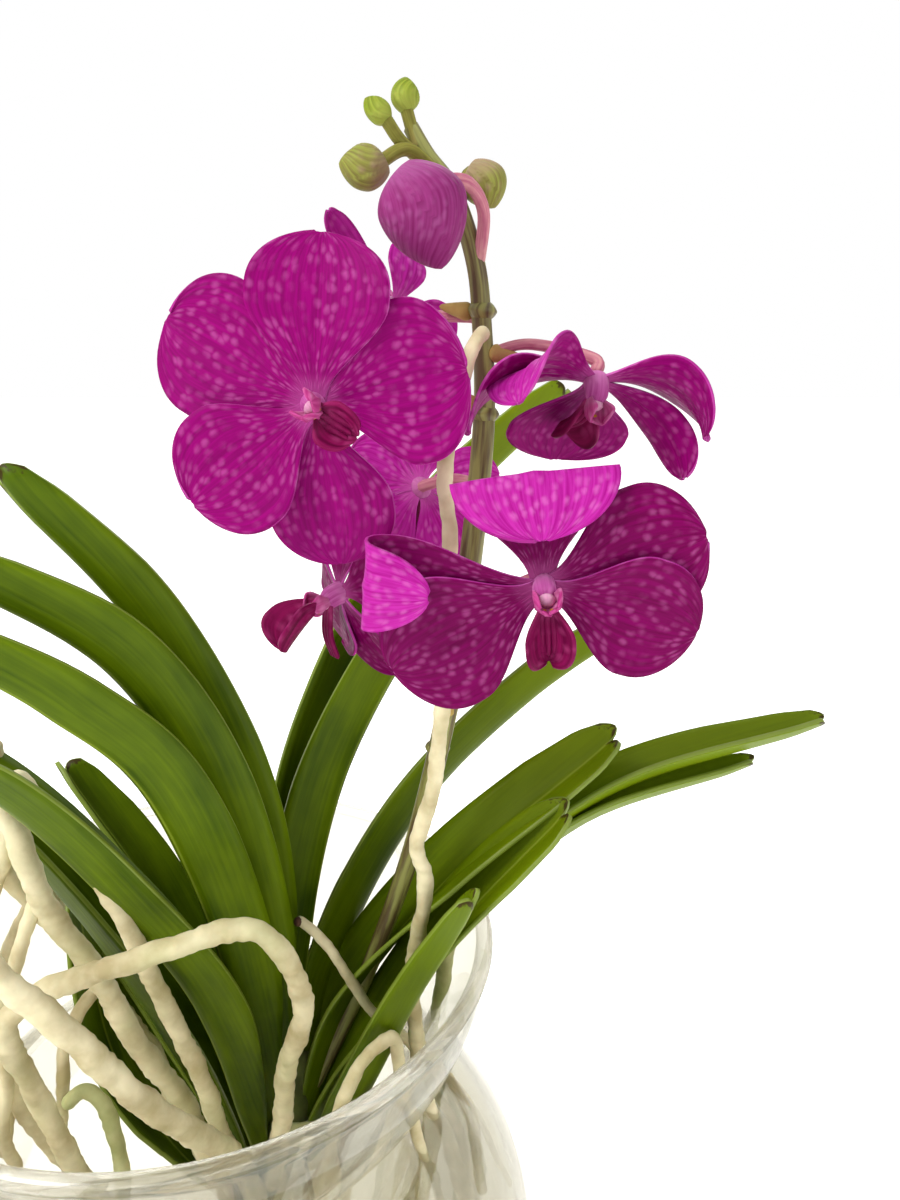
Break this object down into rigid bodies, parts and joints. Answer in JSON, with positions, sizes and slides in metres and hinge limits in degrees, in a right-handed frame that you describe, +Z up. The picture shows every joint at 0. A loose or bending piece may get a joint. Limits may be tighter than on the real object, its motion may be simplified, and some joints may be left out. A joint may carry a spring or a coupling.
{
  "type": "vanda orchid in glass vase",
  "caption": "Bare-rooted vanda orchid with magenta flowers, strap leaves and pale aerial roots, resting in a clear double-bulb glass vase.",
  "frame": {"origin": "centre of the flat foot of the vase, on the surface that it stands on", "axes": "+Z up along the axis of the vase, +X to the right and -Y towards the viewer of the picture"},
  "size_m": [0.3521, 0.248, 0.5289],
  "materials": {
    "vase_glass": "gloss",
    "stem_tissue": "matte",
    "flower_spike": "satin",
    "leaf": "satin",
    "root": "matte",
    "petals": "matte",
    "lip": "satin",
    "stalk": "matte",
    "bud_magenta": "matte",
    "bud_green": "satin"
  },
  "bodies": {
    "root": {"vase": "vase_glass", "stem": "stem_tissue", "flower_spike": "flower_spike", "leaf_left_1": "leaf", "leaf_left_2": "leaf", "leaf_left_3": "leaf", "leaf_left_4": "leaf", "leaf_left_5": "leaf", "leaf_left_6": "leaf", "leaf_left_7": "leaf", "leaf_left_8": "leaf", "leaf_middle_1": "leaf", "leaf_middle_2": "leaf", "leaf_middle_3": "leaf", "leaf_right_1": "leaf", "leaf_right_2": "leaf", "leaf_right_3": "leaf", "leaf_right_4": "leaf", "leaf_right_5": "leaf", "bloom_a_petals": "petals", "bloom_a_lip": "lip", "bloom_a_stalk": "stalk", "bloom_b_petals": "petals", "bloom_b_lip": "lip", "bloom_b_stalk": "stalk", "bloom_c_petals": "petals", "bloom_c_lip": "lip", "bloom_c_stalk": "stalk", "bloom_d_petals": "petals", "bloom_d_lip": "lip", "bloom_d_stalk": "stalk", "bloom_e_petals": "petals", "bloom_e_lip": "lip", "bloom_e_stalk": "stalk", "bloom_f_petals": "petals", "bloom_f_lip": "lip", "bloom_f_stalk": "stalk", "bud_opening": "bud_magenta", "bud_left": "bud_green", "bud_right": "bud_green", "bud_top": "bud_green", "bud_green": "bud_green", "root_upright": "root", "root_kinked": "root", "root_front": "root", "root_rounded_tip": "root", "root_tall": "root", "root_side": "root", "root_brown_tip": "root", "root_hooked": "root", "root_old_brown": "root", "root_green": "root", "root_thin": "root", "root_sprout": "root", "root_left_low": "root", "root_left_back": "root", "root_belly_left": "root", "root_belly_right": "root", "root_belly_front": "root", "root_belly_back": "root"}
  },
  "joints": []
}
